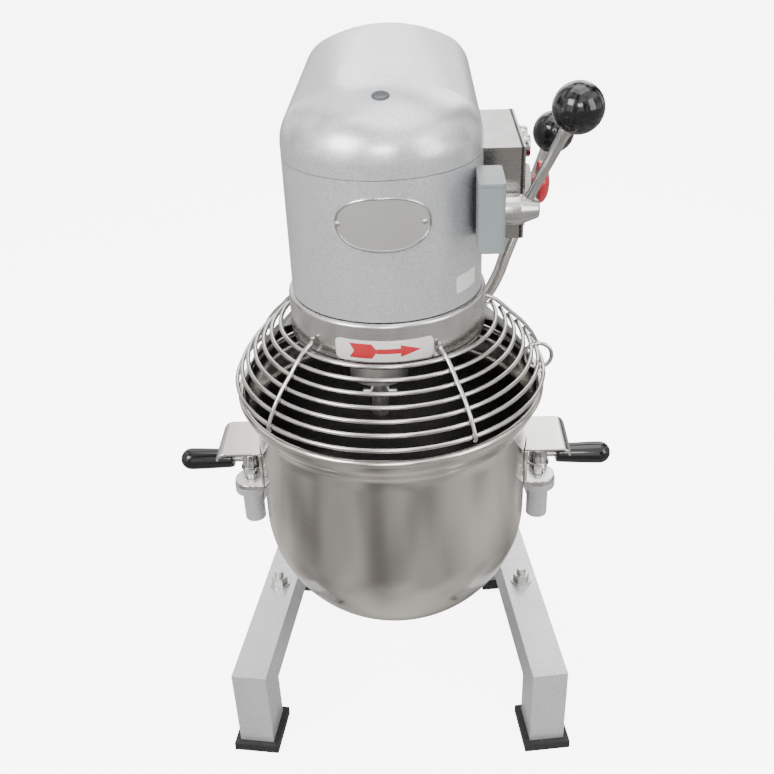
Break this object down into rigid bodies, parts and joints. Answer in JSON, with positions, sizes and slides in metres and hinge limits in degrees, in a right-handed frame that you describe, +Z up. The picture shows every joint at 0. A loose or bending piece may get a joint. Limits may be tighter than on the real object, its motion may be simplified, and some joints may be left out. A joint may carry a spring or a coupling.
{
  "type": "commercial planetary stand mixer",
  "caption": "Commercial planetary stand mixer with an arched painted head, wire bowl guard, removable steel bowl on a lifting yoke, side levers and splayed feet.",
  "frame": {"origin": "on the floor, straight below the axis of the bowl and planetary head", "axes": "+X to the right as seen from the front, +Y towards the back, +Z up; the front faces -Y"},
  "size_m": [0.518, 0.4565, 0.824],
  "materials": {
    "hammertone": "semi-gloss hammertone paint",
    "brushed_stainless": "brushed",
    "polished_stainless": "polished",
    "bright_wire": "polished",
    "turned_steel": "turned",
    "zinc": "zinc plated",
    "gear_steel": "machined",
    "cast_iron": "painted casting",
    "motor_paint": "satin",
    "black_plastic": "gloss",
    "interlock_plastic": "satin",
    "pale_plastic": "satin",
    "green_plastic": "gloss",
    "red_plastic": "gloss",
    "gland_plastic": "matte",
    "black_rubber": "matte",
    "plug_plastic": "matte",
    "label_film": "satin",
    "plate_metal": "etched"
  },
  "bodies": {
    "machine": {"front_leg_left": "hammertone", "front_leg_right": "hammertone", "base_frame": "hammertone", "foot_pads": "black_rubber", "leg_bolts": "zinc", "leg_nuts": "zinc", "column": "hammertone", "column_bolts": "zinc", "slideway": "gear_steel", "head_casing": "hammertone", "front_cap": "hammertone", "rear_panel": "hammertone", "panel_screws": "zinc", "cap_plug": "plug_plastic", "nameplate": "plate_metal", "nameplate_rivets": "zinc", "arrow_label": "label_film", "gearbox_frame": "cast_iron", "collar": "brushed_stainless", "ring_gear": "gear_steel", "splash_shield": "brushed_stainless", "control_box": "brushed_stainless", "control_lid": "brushed_stainless", "button_bezels": "bright_wire", "estop_base": "pale_plastic", "interlock_box": "interlock_plastic", "motor": "motor_paint", "drive_belt": "black_rubber", "main_bearings": "gear_steel", "cable_gland": "gland_plastic"},
    "guard": {"guard_carrier": "bright_wire", "guard_rings": "bright_wire", "guard_ribs": "bright_wire"},
    "planetary": {"main_shaft": "gear_steel", "planet_carrier": "turned_steel"},
    "agitator": {"agitator_shaft": "turned_steel", "planet_pinion": "gear_steel"},
    "input": {"input_shaft": "gear_steel", "driven_pulley": "cast_iron"},
    "motor_rotor": {"motor_pulley": "cast_iron"},
    "low_gear": {"low_gear": "gear_steel"},
    "high_gear": {"high_gear": "gear_steel"},
    "shift_lever": {"shift_hub": "turned_steel", "shift_shaft": "turned_steel", "shift_rod": "bright_wire", "shift_ball": "black_plastic"},
    "sleeve": {"dog_sleeve": "gear_steel"},
    "yoke": {"bowl_yoke": "hammertone"},
    "lift": {"lift_shaft": "turned_steel", "lift_lever": "polished_stainless", "lift_ball": "black_plastic"},
    "bowl": {"bowl_shell": "polished_stainless", "bowl_brackets": "polished_stainless"},
    "clamp_l": {"clamp_left": "turned_steel", "grip_left": "black_plastic"},
    "clamp_r": {"clamp_right": "turned_steel", "grip_right": "black_plastic"},
    "start": {"start_button": "green_plastic"},
    "stop": {"stop_button": "red_plastic"},
    "estop": {"estop_button": "red_plastic"}
  },
  "joints": [
    {"name": "guard_turn", "type": "hinge", "parent": "machine", "child": "guard", "pos_m": [0, 0, 0.55], "axis": [0, 0, 1], "range_deg": [-130, 0]},
    {"name": "planetary_spin", "type": "hinge", "parent": "machine", "child": "planetary", "pos_m": [0, 0, 0.6], "axis": [0, 0, 1], "continuous": true},
    {"name": "agitator_spin", "type": "hinge", "parent": "planetary", "child": "agitator", "pos_m": [-0.01016, -0.04075, 0.55], "axis": [0, 0, 1], "continuous": true},
    {"name": "input_spin", "type": "hinge", "parent": "machine", "child": "input", "pos_m": [0, 0.062, 0.7], "axis": [0, 0, 1], "continuous": true},
    {"name": "motor_spin", "type": "hinge", "parent": "machine", "child": "motor_rotor", "pos_m": [0, 0.178, 0.757], "axis": [0, 0, 1], "continuous": true},
    {"name": "low_gear_spin", "type": "hinge", "parent": "machine", "child": "low_gear", "pos_m": [0, 0, 0.67], "axis": [0, 0, 1], "continuous": true},
    {"name": "high_gear_spin", "type": "hinge", "parent": "machine", "child": "high_gear", "pos_m": [0, 0, 0.72], "axis": [0, 0, 1], "continuous": true},
    {"name": "shift_turn", "type": "hinge", "parent": "machine", "child": "shift_lever", "pos_m": [0.1, -0.024, 0.697], "axis": [1, 0, 0], "range_deg": [0, 40]},
    {"name": "dog_shift", "type": "slide", "parent": "planetary", "child": "sleeve", "axis": [0, 0, 1], "range_m": [0, 0.0165]},
    {"name": "bowl_lift", "type": "slide", "parent": "machine", "child": "yoke", "axis": [0, 0, 1], "range_m": [-0.055, 0]},
    {"name": "lift_lever_turn", "type": "hinge", "parent": "machine", "child": "lift", "pos_m": [0.05, 0.252, 0.44], "axis": [1, 0, 0], "range_deg": [0, 57.29]},
    {"name": "bowl_pull", "type": "slide", "parent": "yoke", "child": "bowl", "axis": [0, -1, 0], "range_m": [0, 0.08]},
    {"name": "clamp_left_turn", "type": "hinge", "parent": "yoke", "child": "clamp_l", "pos_m": [-0.173, 0.025, 0.37], "axis": [0, 0, 1], "range_deg": [-90, 0]},
    {"name": "clamp_right_turn", "type": "hinge", "parent": "yoke", "child": "clamp_r", "pos_m": [0.173, 0.025, 0.37], "axis": [0, 0, 1], "range_deg": [0, 90]},
    {"name": "start_press", "type": "slide", "parent": "machine", "child": "start", "axis": [-1, 0, 0], "range_m": [0, 0.004], "stiffness_N_per_m": 300, "springref_m": -0.001},
    {"name": "stop_press", "type": "slide", "parent": "machine", "child": "stop", "axis": [-1, 0, 0], "range_m": [0, 0.004], "stiffness_N_per_m": 300, "springref_m": -0.001},
    {"name": "estop_press", "type": "slide", "parent": "machine", "child": "estop", "axis": [-1, 0, 0], "range_m": [0, 0.005], "stiffness_N_per_m": 400, "springref_m": -0.001}
  ],
  "couplings": [
    {"joint": "agitator_spin", "follows": "planetary_spin", "ratio": -2.75},
    {"joint": "input_spin", "follows": "planetary_spin", "ratio": -2.4444},
    {"joint": "motor_spin", "follows": "planetary_spin", "ratio": -4.8889},
    {"joint": "low_gear_spin", "follows": "planetary_spin", "ratio": 1},
    {"joint": "high_gear_spin", "follows": "planetary_spin", "ratio": 2.0131},
    {"joint": "dog_shift", "follows": "shift_turn", "m_per_rad": 0.023516},
    {"joint": "lift_lever_turn", "follows": "bowl_lift", "rad_per_m": -18.134}
  ]
}
